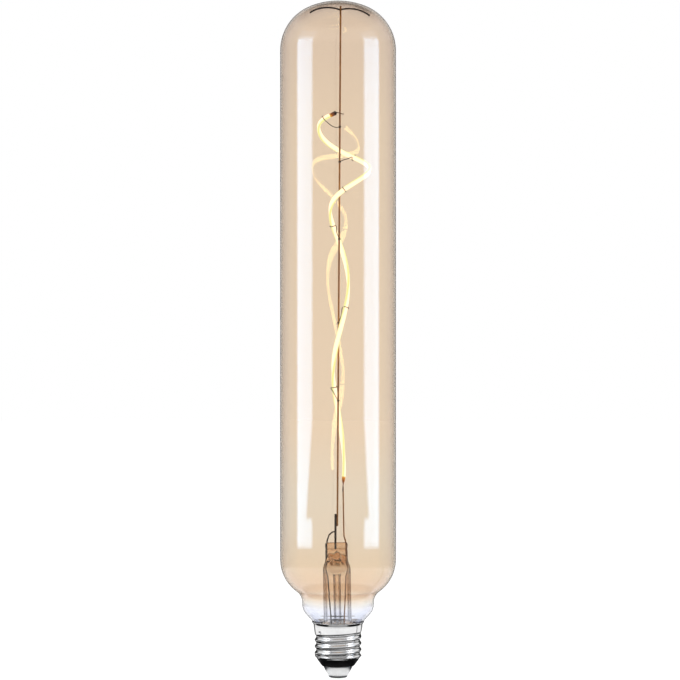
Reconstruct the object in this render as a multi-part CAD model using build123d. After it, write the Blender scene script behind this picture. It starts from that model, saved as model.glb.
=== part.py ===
from build123d import *
from math import cos, radians, sin, sqrt, tan
import os

# Tubular filament lamp with an E27 screw cap, standing on its centre contact.
# Millimetres, +Z along the lamp axis from the contact to the dome, -Y towards the front.

# Glass envelope
overall_length = 380.0        # centre contact to the top of the dome
tube_diameter = 65.0
glass_wall = 1.0
inner_steps = 4               # straight steps to each arc on the inside of the glass
crown_radius = 42.0           # flat middle of the dome
knuckle_radius = 26.5         # turn from the dome into the tube
shoulder_radius = 22.0        # turn from the tube into the shoulder
neck_diameter = 40.2
neck_length = 4.0             # straight part of the neck
neck_fillet = 8.0             # hollow turn between shoulder and neck
foot_angle = 42.0             # slope of the glass foot from the lamp axis
foot_seat = 0.15              # start of the foot above the cement
spigot_gap = 0.35             # glass spigot to the bore of the cap
spigot_length = 6.5           # spigot below the foot

# Screw cap, E27
thread_diameter = 26.3
thread_root_diameter = 24.4
cap_sheet = 0.45
thread_length = 15.2          # lower edge of the cap to its collar
cap_lead_in = 1.2             # height of the bevel at the lower end
collar_diameter = 27.4
collar_height = 3.4
rim_rise = 1.6                # flared rim above the collar
rim_clearance = 0.15          # rim of the cap to the glass foot
cement_gap = 0.35             # cement above the step under the collar
cement_height = 1.0

# Insulator and centre contact
insulator_cone_height = 4.5   # the part below the cap
insulator_plug_height = 3.6   # the part inside the cap, which the driver board rests on
insulator_foot_diameter = 18.2
contact_height = 6.9
contact_diameter = 17.0
contact_face_diameter = 9.4
contact_edge = 0.6            # bevel round the contact face
well_diameter = 4.4           # hole for the fuse resistor
fit_gap = 0.05                # insulator plug in the bore of the cap

# Stem: flared tube with a flat press on top
stem_diameter = 15.8
stem_wall = 1.2
flare_height = 14.0
flare_seat = 1.6              # band of the flare that is sealed to the spigot
seal_gap = 0.05
press_width = 12.6
press_depth = 5.6
press_corner = 1.8
press_height = 9.5            # flat press above the closed end of the tube
stem_straight = 25.0          # round tube above the flare
stem_closing = 5.5            # cone that closes the tube into the press
cavity_drop = 1.5             # top of the stem's bore below that cone
exhaust_diameter = 4.2
exhaust_wall = 0.8
exhaust_tip_rise = 3.5        # melted tip above the edge of the flare
port_diameter = 2.6
port_rise = 0.7               # exhaust port above the closing cone
stem_lean = 1.06              # degrees to the left, from the edge of the flare upwards

# Wires
lead_diameter = 0.7
lead_rise = 0.8               # leads stand this far out of the press before they bend
lead_press_offset = 5.2       # leads in the press, from the stem's axis
lead_pad_offset = 3.0         # leads on the driver board
lead_knee = 4.0               # leads start to spread this far above the board
left_lead_rise = 6.0          # left lead meets the stub this far above the press
right_lead_rise = 3.5         # right lead turns upwards this far above the press
right_lead_offset = 3.3       # that turn, from the lamp axis
stub_diameter = 1.2
stub_length = 19.5
stub_in_press = 3.6
stub_offset = -1.45
rod_diameter = 1.0
rod_overlap = 6.8             # rod and stub run side by side over this length
rod_lean = 1.85               # sideways drift of the rod over its length
rod_tip_gap = 1.0             # rod tip to the inside of the dome
weld_sink = 0.05              # how far two welded wires flatten each other

# Bow spring that steadies the rod inside the dome
bow_width = 1.0
bow_thickness = 0.8
bow_drop = 4.61959            # wing tips below the rod tip, where the dome is 17.6 from the rod
bow_turn = 16.0               # degrees round the rod, left wing to the front
bow_dip = 2.4                 # middle of the bow below the rod tip
bow_rise = 1.2                # crown of each wing above the middle
bow_crown = 8.0               # crown of each wing from the rod
bow_glass_gap = 0.3

# Filament: one soft strip wound round the rod
strip_width = 2.7
strip_thickness = 1.7
strip_bevel = 0.45
sleeve_length = 4.4
pin_diameter = 0.5
upper_pin_rise = 1.6          # weld on the rod above the end of the strip
upper_pin_overshoot = 3.0
lower_pin_length = 4.2
lower_pin_overlap = 3.0       # pin and lead run side by side over this length

# Stations along the strip from its upper end to its lower end
strip_angles = [207, 200, 192, 175, 90, 0, -90, -180, -270, -360, -450, -540, -630, -720, -740]
strip_reaches = [6.5, 8.9, 11.0, 12.0, 12.0, 16.8, 8.9, 5.1, 5.5, 5.3, 5.0, 2.9, 3.6, 3.35, 3.6]
strip_heights = [239.4, 238.0, 236.0, 232.8, 220.9, 209.5, 195.5, 185.7,
                 168.8, 145.0, 115.6, 95.4, 73.5, 48.4, 37.0]

# Hooks: share of the strip's length at each eye, height of each arm's foot above the press
hook_diameter = 0.4
hook_gap = 0.1                # strip to the hook's eye
hook_shares = [0.014, 0.164, 0.315, 0.421, 0.615, 0.798]
hook_heights = [233.4, 213.8, 196.0, 170.4, 123.3, 79.6]

# Driver board and what stands on it
board_width = 15.4
board_corner = 2.4
board_thickness = 1.0
capacitor_diameter = 5.0
capacitor_height = 6.0
capacitor_offset = 4.8
rectifier_size = (4.8, 4.0, 2.4)
rectifier_offset = 5.2
chip_size = (3.0, 4.9, 1.5)
chip_offset = 5.8
fuse_diameter = 2.6
fuse_length = 5.6
fuse_rise = 1.3               # fuse body above the contact
link_diameter = 0.6
link_rise = 3.0
link_offset = 6.6

# Worked out from the sizes above
tube_radius = tube_diameter / 2
neck_radius = neck_diameter / 2
crest_radius = thread_diameter / 2
bore_radius = thread_root_diameter / 2 - cap_sheet
collar_radius = collar_diameter / 2
spigot_radius = bore_radius - spigot_gap
flare_radius = spigot_radius - glass_wall - seal_gap
cap_bottom = contact_height + insulator_cone_height
insulator_top = cap_bottom + insulator_plug_height
board_top = insulator_top + board_thickness
collar_bottom = cap_bottom + thread_length
collar_top = collar_bottom + collar_height
rim_height = collar_top + rim_rise
cement_bottom = collar_bottom + cap_sheet + cement_gap
cement_top = cement_bottom + cement_height
foot_slope = tan(radians(foot_angle))
foot_bottom = cement_top + foot_seat
foot_height = foot_bottom + (neck_radius - spigot_radius) / foot_slope
spigot_bottom = foot_bottom - spigot_length
flare_top = spigot_bottom + flare_height
stem_shoulder = flare_top + stem_straight
stem_crest = stem_shoulder + stem_closing
press_top = stem_crest + press_height
cavity_ceiling = stem_shoulder - cavity_drop
port_height = stem_crest + port_rise
exhaust_tip = spigot_bottom + exhaust_tip_rise
neck_top = foot_height + neck_length
shoulder_out = tube_radius - shoulder_radius
shoulder_spread = shoulder_radius + neck_fillet
shoulder_across = (neck_radius + neck_fillet - shoulder_out) / shoulder_spread
shoulder_drop = sqrt(1 - shoulder_across ** 2)
shoulder_height = neck_top + shoulder_spread * shoulder_drop
rim_bore = spigot_radius + (rim_height - foot_bottom) * foot_slope + rim_clearance
rod_radius = rod_diameter / 2
rod_foot_offset = stub_offset + rod_radius + stub_diameter / 2 - weld_sink
rod_foot = press_top + stub_length - stub_in_press - rod_overlap
rod_top = overall_length - glass_wall - rod_tip_gap
crown_centre = overall_length - crown_radius
knuckle_out = tube_radius - knuckle_radius
dome_spread = crown_radius - knuckle_radius
knuckle_rise = sqrt(dome_spread ** 2 - knuckle_out ** 2)
knuckle_centre = crown_centre + knuckle_rise
upright = (Align.CENTER, Align.CENTER, Align.MIN)
stem_place = Pos(0, 0, spigot_bottom) * Rot(0, -stem_lean, 0) * Pos(0, 0, -spigot_bottom)


def turned(points):
    """Solid of revolution round the lamp axis, from corner points (radius, height)."""
    return revolve(make_face(Plane.XZ * Polyline(*points, close=True)), axis=Axis.Z)


def swept(section, path):
    return sweep(Plane(origin=path @ 0, z_dir=path % 0) * section, path=path)


def wire(path, diameter):
    """Round wire along straight runs, mitred where they meet."""
    section = Plane(origin=path @ 0, z_dir=path % 0) * Circle(diameter / 2)
    return sweep(section, path=path, transition=Transition.RIGHT)


def in_stem(aside, height):
    """Point that leans with the stem."""
    return (stem_place * Pos(aside, 0, height)).position


def rod_at(height):
    """Point on the axis of the support rod."""
    share = (height - rod_foot) / (rod_top - rod_foot)
    return Vector(rod_foot_offset + rod_lean * share, 0, height)


def envelope_outline(inset, steps=None):
    """Edges from the foot of the glass to the top of its dome, moved inwards by inset.

    The arcs are true, or cut into a number of straight steps.
    """
    tube = tube_radius - inset
    neck = neck_radius - inset
    spigot = spigot_radius - inset
    crown = crown_radius - inset
    turn_radius = shoulder_radius - inset
    turn_height = shoulder_height - turn_radius * shoulder_drop
    turn = (shoulder_out + turn_radius * shoulder_across, turn_height)
    crown_share = crown / dome_spread
    top_turn = (knuckle_out * crown_share, crown_centre + knuckle_rise * crown_share)
    bevel = inset * tan(radians(foot_angle / 2))
    foot = Polyline(
        (spigot, spigot_bottom),
        (spigot, foot_bottom + bevel),
        (neck, foot_height + bevel),
        (neck, neck_top),
    )
    side = Line((tube, shoulder_height), (tube, knuckle_centre))
    arcs = [
        RadiusArc((neck, neck_top), turn, neck_fillet + inset),
        RadiusArc(turn, (tube, shoulder_height), -turn_radius),
        RadiusArc((tube, knuckle_centre), top_turn, inset - knuckle_radius),
        RadiusArc(top_turn, (0, overall_length - inset), -crown),
    ]
    if steps:
        arcs = [Polyline(*[arc @ (step / steps) for step in range(steps + 1)]) for arc in arcs]
    edges = [*foot.edges(), *side.edges()]
    for arc in arcs:
        edges.extend(arc.edges())
    return edges


def glass_envelope():
    """Blown glass: dome, tube, shoulder, neck and foot, one wall open at the spigot."""
    spigot_end = Line((spigot_radius - glass_wall, spigot_bottom), (spigot_radius, spigot_bottom))
    dome_middle = Line((0, overall_length - glass_wall), (0, overall_length))
    edges = [*envelope_outline(0), *envelope_outline(glass_wall, inner_steps)]
    wall = Wire([*edges, *spigot_end.edges(), *dome_middle.edges()])
    return revolve(make_face(Plane.XZ * wall), axis=Axis.Z)


def dome_reach(height, inset):
    """Distance of the dome from the axis at a height, moved inwards by inset."""
    crown = crown_radius - inset
    if height > crown_centre + crown * knuckle_rise / dome_spread:
        return sqrt(crown ** 2 - (height - crown_centre) ** 2)
    return knuckle_out + sqrt((knuckle_radius - inset) ** 2 - (height - knuckle_centre) ** 2)


def screw_cap():
    """Screw cap: bevelled lower end, thread sleeve, collar and flared rim."""
    collar_bore = collar_radius - cap_sheet
    return turned([
        (bore_radius, cap_bottom),
        (thread_root_diameter / 2, cap_bottom),
        (crest_radius, cap_bottom + cap_lead_in),
        (crest_radius, collar_bottom),
        (collar_radius, collar_bottom),
        (collar_radius, collar_top),
        (rim_bore + cap_sheet, rim_height),
        (rim_bore, rim_height),
        (collar_bore, collar_top + cap_sheet / 2),
        (collar_bore, collar_bottom + cap_sheet),
        (bore_radius, collar_bottom + cap_sheet),
    ])


def base_cement():
    """Ring of cement that holds the glass spigot in the collar."""
    collar_bore = collar_radius - cap_sheet
    return turned([
        (spigot_radius, cement_bottom),
        (collar_bore, cement_bottom),
        (collar_bore, cement_top),
        (spigot_radius, cement_top),
    ])


def centre_contact():
    """Tapered contact plug with a bevelled face."""
    face = contact_face_diameter / 2
    top = contact_diameter / 2
    side = face + (top - face) * contact_edge / contact_height
    return turned([
        (0, 0),
        (face - contact_edge, 0),
        (side, contact_edge),
        (top, contact_height),
        (0, contact_height),
    ])


def cap_insulator():
    """Moulded insulator: cone below the cap and plug inside it, with a well for the fuse."""
    well = well_diameter / 2
    plug = bore_radius - fit_gap
    return turned([
        (well, contact_height),
        (insulator_foot_diameter / 2, contact_height),
        (thread_root_diameter / 2, cap_bottom),
        (plug, cap_bottom),
        (plug, insulator_top),
        (well, insulator_top),
    ])


def stem_tube(embedded):
    """Flared stem tube with its press, closed round the wires that run through it."""
    outer = stem_diameter / 2
    bore = outer - stem_wall
    exhaust_bore = exhaust_diameter / 2 - exhaust_wall
    seat = spigot_bottom + flare_seat
    tube = turned([
        (flare_radius - stem_wall, spigot_bottom),
        (flare_radius, spigot_bottom),
        (flare_radius, seat),
        (outer, flare_top),
        (outer, stem_shoulder),
        (press_depth / 2, stem_crest),
        (0, stem_crest),
        (0, cavity_ceiling),
        (bore, cavity_ceiling),
        (bore, flare_top),
        (flare_radius - stem_wall, seat),
    ])
    outline = RectangleRounded(press_width, press_depth, press_corner)
    press = Pos(0, 0, cavity_ceiling) * extrude(outline, press_top - cavity_ceiling)
    riser = Cylinder(exhaust_bore, port_height - cavity_ceiling, align=upright)
    port = Rot(90, 0, 0) * Cylinder(port_diameter / 2, press_depth, align=upright)
    body = tube + press - Pos(0, 0, cavity_ceiling) * riser - Pos(0, 0, port_height) * port
    body = stem_place * body
    for piece in embedded:
        body = body - piece
    return body


def exhaust_tube():
    """Exhaust tube, open into the press and melted shut at its lower end."""
    outer = exhaust_diameter / 2
    bore = outer - exhaust_wall
    return stem_place * turned([
        (0, exhaust_tip),
        (exhaust_wall / 2, exhaust_tip),
        (outer, exhaust_tip + outer),
        (outer, cavity_ceiling),
        (bore, cavity_ceiling),
        (bore, exhaust_tip + outer),
        (0, exhaust_tip + outer),
    ])


def strip_path():
    """Line of the strip: stations given by bearing from +X, distance from the rod and height."""
    points = []
    for angle, reach, height in zip(strip_angles, strip_reaches, strip_heights):
        aside = Vector(cos(radians(angle)), sin(radians(angle)), 0) * reach
        points.append(rod_at(press_top + height) + aside)
    return Spline(*points)


def led_filament(path):
    section = Rectangle(strip_width, strip_thickness)
    return swept(chamfer(section.vertices(), strip_bevel), path)


def filament_terminal(strip, end, outward, pin_end):
    """Crimped end of the strip: a sleeve and its weld pin."""
    face = strip.faces().sort_by_distance(end)[0]
    sleeve_end = end + outward * sleeve_length
    pin = wire(Line(sleeve_end - outward * pin_diameter, pin_end), pin_diameter)
    return extrude(face, sleeve_length) + pin


def filament_hook(path, share, arm_height, rod):
    """Wire hook: an open eye round the strip and an arm to the rod."""
    centre = path @ share
    along = (path % share).normalized()
    inward = rod_at(centre.Z) - centre
    inward = (inward - along * inward.dot(along)).normalized()
    strip_reach = sqrt((strip_width / 2) ** 2 + (strip_thickness / 2 - strip_bevel) ** 2)
    eye_radius = strip_reach + hook_gap + hook_diameter / 2
    plane = Plane(origin=centre, x_dir=inward, z_dir=along)
    bend = ThreePointArc((eye_radius, 0), (-eye_radius, 0), (0, -eye_radius))
    eye = extrude(plane * trace(bend, hook_diameter), hook_diameter / 2, both=True)
    arm = Line(centre + inward * eye_radius, rod_at(press_top + arm_height))
    return eye + swept(Rectangle(hook_diameter, hook_diameter), arm) - rod


def top_bow(rod):
    """Bow spring across the rod: two arched wings that end close under the dome."""
    middle = rod_top - bow_dip
    inset = glass_wall + bow_glass_gap + bow_thickness / 2
    tip = rod_top - bow_drop
    reach = dome_reach(tip, inset) - rod_foot_offset - rod_lean
    axis = rod_at(middle)
    turn = radians(bow_turn)
    aside = Vector(-sin(turn), cos(turn), 0) * (rod_radius + bow_width / 2 - weld_sink)
    corner = (axis.X + aside.X, aside.Y, 0)
    plane = Plane(corner, x_dir=(cos(turn), sin(turn), 0), z_dir=(sin(turn), -cos(turn), 0))
    left = ThreePointArc((-reach, tip), (-bow_crown, middle + bow_rise), (0, middle))
    right = ThreePointArc((0, middle), (bow_crown, middle + bow_rise), (reach, tip))
    section = Rectangle(bow_width, bow_thickness)
    spring = Part()
    for wing in (plane * left, plane * right):
        start = Plane(origin=wing @ 0, x_dir=plane.z_dir, z_dir=wing % 0)
        spring = spring + sweep(start * section, path=wing)
    return spring - rod


def lead_wire(side, *bends):
    """Lead from the driver board through the press; side is -1 on the left and 1 on the right."""
    path = Polyline(
        (side * lead_pad_offset, 0, board_top),
        (side * lead_pad_offset, 0, board_top + lead_knee),
        in_stem(side * lead_press_offset, cavity_ceiling - lead_diameter),
        in_stem(side * lead_press_offset, press_top + lead_rise),
        *bends,
    )
    return wire(path, lead_diameter)


def fuse_resistor():
    """Fuse resistor in the insulator's well, its legs on the contact and on the board."""
    body = Pos(0, 0, contact_height + fuse_rise) * Cylinder(fuse_diameter / 2, fuse_length, align=upright)
    leg = Cylinder(link_diameter / 2, insulator_top - contact_height, align=upright)
    return body + Pos(0, 0, contact_height) * leg


def driver_board():
    plate = chamfer(Rectangle(board_width, board_width).vertices(), board_corner)
    return Pos(0, 0, insulator_top) * extrude(plate, board_thickness)


def on_board(size, x, y):
    return Pos(x, y, board_top) * Box(*size, align=upright)


def side_contact_wire():
    """Wire from the board to the wall of the screw cap."""
    level = board_top + link_rise
    foot = (-link_offset, 0, board_top)
    path = Polyline(foot, (-link_offset, 0, level), (-bore_radius, 0, level))
    return wire(path, link_diameter)


def smoothing_capacitor():
    can = Cylinder(capacitor_diameter / 2, capacitor_height, align=upright)
    return Pos(0, capacitor_offset, board_top) * can


def rod_stub():
    stub = Cylinder(stub_diameter / 2, stub_length, align=upright)
    return Pos(stub_offset, 0, press_top - stub_in_press) * stub


def build():
    rod = wire(Line(rod_at(rod_foot), rod_at(rod_top)), rod_diameter)
    stub = rod_stub()
    path = strip_path()
    strip = led_filament(path)
    upper_end = path @ 0
    upper_out = (path % 0) * -1
    lower_end = path @ 1
    lower_out = path % 1
    weld_depth = rod_radius + pin_diameter / 2 - weld_sink
    weld = rod_at(upper_end.Z + upper_pin_rise) - Vector(0, weld_depth, 0)
    reach = (weld - upper_end - upper_out * sleeve_length).normalized()
    upper_pin_end = weld + reach * upper_pin_overshoot
    lower_pin_end = lower_end + lower_out * (sleeve_length + lower_pin_length)
    lead_depth = (lead_diameter + pin_diameter) / 2 - weld_sink
    lead_top = lower_pin_end - lower_out * lower_pin_overlap + Vector(0, lead_depth, 0)
    left = lead_wire(-1, (stub_offset, 0, press_top + left_lead_rise))
    right = lead_wire(1, (right_lead_offset, 0, press_top + right_lead_rise), lead_top)
    upper_terminal = filament_terminal(strip, upper_end, upper_out, upper_pin_end)
    lower_terminal = filament_terminal(strip, lower_end, lower_out, lower_pin_end)
    pieces = {
        "glass_envelope": glass_envelope(),
        "screw_cap": screw_cap(),
        "base_cement": base_cement(),
        "centre_contact": centre_contact(),
        "cap_insulator": cap_insulator(),
        "stem_tube": stem_tube([stub, left, right]),
        "exhaust_tube": exhaust_tube(),
        "lead_wire_left": left - stub,
        "lead_wire_right": right,
        "rod_stub": stub - rod,
        "support_rod": rod,
        "top_bow": top_bow(rod),
        "led_filament": strip,
        "filament_terminal_upper": upper_terminal - rod,
        "filament_terminal_lower": lower_terminal - right,
        "driver_board": driver_board(),
        "smoothing_capacitor": smoothing_capacitor(),
        "bridge_rectifier": on_board(rectifier_size, 0, -rectifier_offset),
        "driver_chip": on_board(chip_size, chip_offset, 0),
        "fuse_resistor": fuse_resistor(),
        "side_contact_wire": side_contact_wire(),
    }
    for number, (share, height) in enumerate(zip(hook_shares, hook_heights), 1):
        pieces[f"filament_hook_{number}"] = filament_hook(path, share, height, rod)
    return pieces


os.makedirs("parts", exist_ok=True)
for name, shape in build().items():
    export_step(shape, f"parts/{name}.step")
    print(name, round(shape.volume, 2), len(shape.solids()), shape.is_valid)
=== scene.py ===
import bpy
import numpy as np
from math import atan2, cos, pi, radians, sin, sqrt, tan
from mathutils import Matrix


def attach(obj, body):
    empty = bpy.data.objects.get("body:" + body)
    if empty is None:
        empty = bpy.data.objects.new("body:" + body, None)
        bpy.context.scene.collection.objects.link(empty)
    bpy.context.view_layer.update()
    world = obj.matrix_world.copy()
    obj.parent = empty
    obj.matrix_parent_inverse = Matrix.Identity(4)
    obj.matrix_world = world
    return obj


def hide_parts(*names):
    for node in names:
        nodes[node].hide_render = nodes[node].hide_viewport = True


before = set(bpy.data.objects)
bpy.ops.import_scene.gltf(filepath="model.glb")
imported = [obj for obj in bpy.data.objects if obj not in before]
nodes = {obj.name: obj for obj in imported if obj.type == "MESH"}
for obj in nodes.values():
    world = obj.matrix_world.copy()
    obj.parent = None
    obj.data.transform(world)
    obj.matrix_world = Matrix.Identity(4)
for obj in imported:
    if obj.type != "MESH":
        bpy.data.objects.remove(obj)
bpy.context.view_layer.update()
mm = 0.001
print("frame loaded:", len(nodes), "solids")


# Curves

def splineThrough(points, share):
    # cubic through all points, knots at chord length, end slopes from the cubic through four points
    points = np.asarray(points, float)
    span = np.linalg.norm(np.diff(points, axis=0), axis=1)
    knots = np.concatenate([[0.0], np.cumsum(span)])
    rise = np.diff(points, axis=0) / span[:, None]
    first = np.linalg.solve(np.vander(knots[:4], 4, True), points[:4])[1]
    last = np.linalg.solve(np.vander(knots[-4:] - knots[-1], 4, True), points[-4:])[1]
    inner = np.diag(2 * (span[:-1] + span[1:])) + np.diag(span[2:], -1) + np.diag(span[:-2], 1)
    wanted = 3 * (span[1:, None] * rise[:-1] + span[:-1, None] * rise[1:])
    wanted[0] -= span[1] * first
    wanted[-1] -= span[-2] * last
    slope = np.vstack([first, np.linalg.solve(inner, wanted), last])
    at = np.atleast_1d(share) * knots[-1]
    k = np.clip(np.searchsorted(knots, at, side="right") - 1, 0, len(span) - 1)
    w = ((at - knots[k]) / span[k])[:, None]
    h = span[k][:, None]
    return ((1 + 2 * w) * (1 - w) ** 2 * points[k] + w * (1 - w) ** 2 * h * slope[k]
            + w ** 2 * (3 - 2 * w) * points[k + 1] + w ** 2 * (w - 1) * h * slope[k + 1])


def lengthAlong(path):
    return np.concatenate([[0.0], np.cumsum(np.linalg.norm(np.diff(path, axis=0), axis=1))])


def evenly(path, count):
    # the same line with its points at equal steps of length
    s = lengthAlong(path)
    at = np.linspace(0, s[-1], count)
    return np.column_stack([np.interp(at, s, column) for column in path.T])


def arc(centre, radius, start, end, count):
    # points at equal angles round a centre, in degrees
    a = np.radians(np.linspace(start, end, count))
    return np.column_stack([centre[0] + radius * np.cos(a), centre[1] + radius * np.sin(a)])


def arcThrough(start, middle, end, count):
    # circle through three points of a plane, from start over middle to end
    start, middle, end = [np.asarray(p, float) for p in (start, middle, end)]
    rows = 2 * np.array([middle - start, end - start])
    centre = np.linalg.solve(rows, [middle @ middle - start @ start, end @ end - start @ start])
    a = np.unwrap([atan2(*(p - centre)[::-1]) for p in (start, middle, end)])
    return arc(centre, np.linalg.norm(start - centre), np.degrees(a[0]), np.degrees(a[2]), count)


def rounded(corners, radii, count=7):
    # open outline whose inner corners become arcs that are tangent to both sides
    corners = np.asarray(corners, float)
    runs = [corners[:1]]
    for before, here, after, radius in zip(corners[:-2], corners[1:-1], corners[2:], radii):
        u = (before - here) / np.linalg.norm(before - here)
        v = (after - here) / np.linalg.norm(after - here)
        half = np.arccos(np.clip(u @ v, -1, 1)) / 2
        middle = here + (u + v) / np.linalg.norm(u + v) * radius / sin(half)
        s = here + u * radius / tan(half) - middle
        e = here + v * radius / tan(half) - middle
        turn = pi - 2 * half
        w = np.linspace(0, 1, count)[:, None]
        runs.append(middle + (np.sin((1 - w) * turn) * s + np.sin(w * turn) * e) / sin(turn))
    runs.append(corners[-1:])
    return np.vstack(runs)


def filled(outline, step):
    # the same outline with extra points, so that no run is longer than step
    runs = []
    for a, b in zip(outline[:-1], outline[1:]):
        n = max(1, int(np.ceil(np.linalg.norm(b - a) / step)))
        runs.append(a + (b - a) * np.linspace(0, 1, n, endpoint=False)[:, None])
    return np.vstack(runs + [outline[-1:]])


def smooth(x, low, high):
    # 0 below low, 1 above high, an s-curve between
    t = np.clip((x - low) / (high - low), 0, 1)
    return t * t * (3 - 2 * t)


# Surfaces

def shell(rings, poles=None, loop=False, **values):
    # quads between neighbouring rings, and a fan to a pole at each end; values are numbers per ring point
    count, around = rings.shape[:2]
    index = np.arange(count * around).reshape(count, around)
    lower = index if loop else index[:-1]
    upper = np.roll(index, -1, axis=0) if loop else index[1:]
    quads = np.stack([lower, np.roll(lower, -1, 1), np.roll(upper, -1, 1), upper], -1)
    faces = quads.reshape(-1, 4).tolist()
    verts = rings.reshape(-1, 3)
    grids = {key: np.broadcast_to(grid, (count, around)).ravel() for key, grid in values.items()}
    if poles is not None:
        pole = np.full(around, count * around)
        faces += np.stack([pole, np.roll(index[0], -1), index[0]], -1).tolist()
        faces += np.stack([index[-1], np.roll(index[-1], -1), pole + 1], -1).tolist()
        verts = np.vstack([verts, np.asarray(poles, float)])
        grids = {key: np.concatenate([grid, grid[[0, -1]]]) for key, grid in grids.items()}
    return verts, faces, grids


def newPiece(name, material, slot, replaced, *shells):
    # one object from one or more closed shells, in metres, riding the lamp's only body
    verts, faces, start = [], [], 0
    for points, quads, grids in shells:
        faces += [[i + start for i in face] for face in quads]
        verts.append(points)
        start += len(points)
    mesh = bpy.data.meshes.new(name)
    mesh.from_pydata((np.vstack(verts) * mm).tolist(), [], faces)
    mesh.polygons.foreach_set("use_smooth", np.ones(len(faces), bool))
    for key in shells[0][2]:
        layer = mesh.attributes.new(key, "FLOAT", "POINT")
        value = np.concatenate([grids[key] for _, _, grids in shells])
        layer.data.foreach_set("value", value.astype(np.float32))
    mesh.materials.append(material)
    mesh.update()
    piece = bpy.data.objects.new(name, mesh)
    bpy.context.scene.collection.objects.link(piece)
    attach(piece, "root")
    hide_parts(replaced)
    return piece


def lathe(outline, around, shape=None):
    # rings (r cos a, r sin a, z) for each outline point; shape(a, r, z) may change the radius
    a = np.linspace(0, 2 * pi, around, endpoint=False)[None, :]
    r = np.repeat(outline[:, :1], around, axis=1)
    z = np.repeat(outline[:, 1:], around, axis=1)
    if shape:
        r = shape(a, r, z)
    return np.stack([r * np.cos(a), r * np.sin(a), z], -1)


def turned(outline, around):
    # lathe shell of an outline that starts and ends on the axis
    return shell(lathe(outline[1:-1], around), [(0, 0, outline[0, 1]), (0, 0, outline[-1, 1])])


def sectionFrames(path, sideways):
    # t by central differences, n = sideways without its part along t, b = t x n
    t = np.gradient(path, axis=0)
    t /= np.linalg.norm(t, axis=1)[:, None]
    n = sideways - (sideways * t).sum(1)[:, None] * t
    n /= np.linalg.norm(n, axis=1)[:, None]
    return n, np.cross(t, n)


def tube(path, wide, thick, sideways, around=14, power=1.0, **values):
    # superellipse with half sizes thick (along n) and wide (along b), carried along a path
    n, b = sectionFrames(path, np.broadcast_to(np.asarray(sideways, float), path.shape))
    a = np.linspace(0, 2 * pi, around, endpoint=False)[None, :]
    c = np.sign(np.cos(a)) * np.abs(np.cos(a)) ** power
    s = np.sign(np.sin(a)) * np.abs(np.sin(a)) ** power
    thick = np.broadcast_to(thick, len(path))[:, None] * c
    wide = np.broadcast_to(wide, len(path))[:, None] * s
    rings = path[:, None] + thick[..., None] * n[:, None] + wide[..., None] * b[:, None]
    return shell(rings, [path[0], path[-1]], **values)


def roundWire(path, diameter, sideways=(0.0, 1.0, 0.0)):
    # round wire whose ends are domed
    s = lengthAlong(path)
    r = diameter / 2
    near = np.clip(np.minimum(s, s[-1] - s) / r, 0.03, 1)
    return tube(path, r * np.sqrt(1 - (1 - near) ** 2), r * np.sqrt(1 - (1 - near) ** 2), sideways)


# Materials

def linear(code):
    # sRGB hex to linear colour
    c = np.array([int(code[i:i + 2], 16) for i in (1, 3, 5)]) / 255
    lin = np.where(c <= 0.04045, c / 12.92, ((c + 0.055) / 1.055) ** 2.4)
    return (*[float(v) for v in lin], 1.0)


def addNode(tree, kind, inputs=None, stops=None, **settings):
    # one node with its settings, its inputs as values or links, and the stops of a colour ramp
    made = tree.nodes.new(kind)
    for key, value in settings.items():
        setattr(made, key, value)
    for key, value in (inputs or {}).items():
        if isinstance(value, bpy.types.NodeSocket):
            tree.links.new(value, made.inputs[key])
        else:
            made.inputs[key].default_value = value
    for i, (place, code) in enumerate(stops or []):
        spots = made.color_ramp.elements
        spot = spots[i] if i < len(spots) else spots.new(place)
        spot.position = place
        spot.color = linear(code)
    return made


def newMaterial(name):
    made = bpy.data.materials.new(name)
    made.use_nodes = True
    made.node_tree.nodes.clear()
    return made, made.node_tree


def shaderMix(tree, share, first, second):
    return addNode(tree, "ShaderNodeMixShader", {0: share, 1: first.outputs[0], 2: second.outputs[0]})


def useSurface(tree, shader):
    addNode(tree, "ShaderNodeOutputMaterial", {"Surface": shader.outputs[0]})


def grainOf(tree, sizeMm, detail=3.0, stretch=(1, 1, 1)):
    # noise in patches of about sizeMm on Object coordinates
    where = addNode(tree, "ShaderNodeTexCoord")
    drawn = addNode(tree, "ShaderNodeMapping", {"Vector": where.outputs["Object"], "Scale": stretch})
    noise = addNode(tree, "ShaderNodeTexNoise", {
        "Vector": drawn.outputs[0], "Scale": 0.5 / (sizeMm * mm), "Detail": detail})
    return noise.outputs[0]


def solidLook(name, sizeMm, stops, rough, relief, detail=3.0, stretch=(1, 1, 1), **sockets):
    # opaque surface: colour, roughness and relief all follow one grain of a real size
    made, tree = newMaterial(name)
    grain = grainOf(tree, sizeMm, detail, stretch)
    tone = addNode(tree, "ShaderNodeValToRGB", {"Fac": grain}, stops)
    haze = addNode(tree, "ShaderNodeMapRange", {"Value": grain, "To Min": rough[0], "To Max": rough[1]})
    bump = addNode(tree, "ShaderNodeBump", {"Height": grain, "Distance": relief * mm, "Strength": 0.5})
    body = addNode(tree, "ShaderNodeBsdfPrincipled", {
        "Base Color": tone.outputs[0], "Roughness": haze.outputs[0], "Normal": bump.outputs[0]})
    for key, value in sockets.items():
        body.inputs[key.replace("_", " ")].default_value = value
    useSurface(tree, body)
    return made


def heightShare(tree, low, high):
    # 0 at height low and 1 at height high, both in mm
    where = addNode(tree, "ShaderNodeTexCoord")
    axes = addNode(tree, "ShaderNodeSeparateXYZ", {0: where.outputs["Object"]})
    return addNode(tree, "ShaderNodeMapRange", {
        "Value": axes.outputs["Z"], "From Min": low * mm, "From Max": high * mm}).outputs[0]


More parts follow.
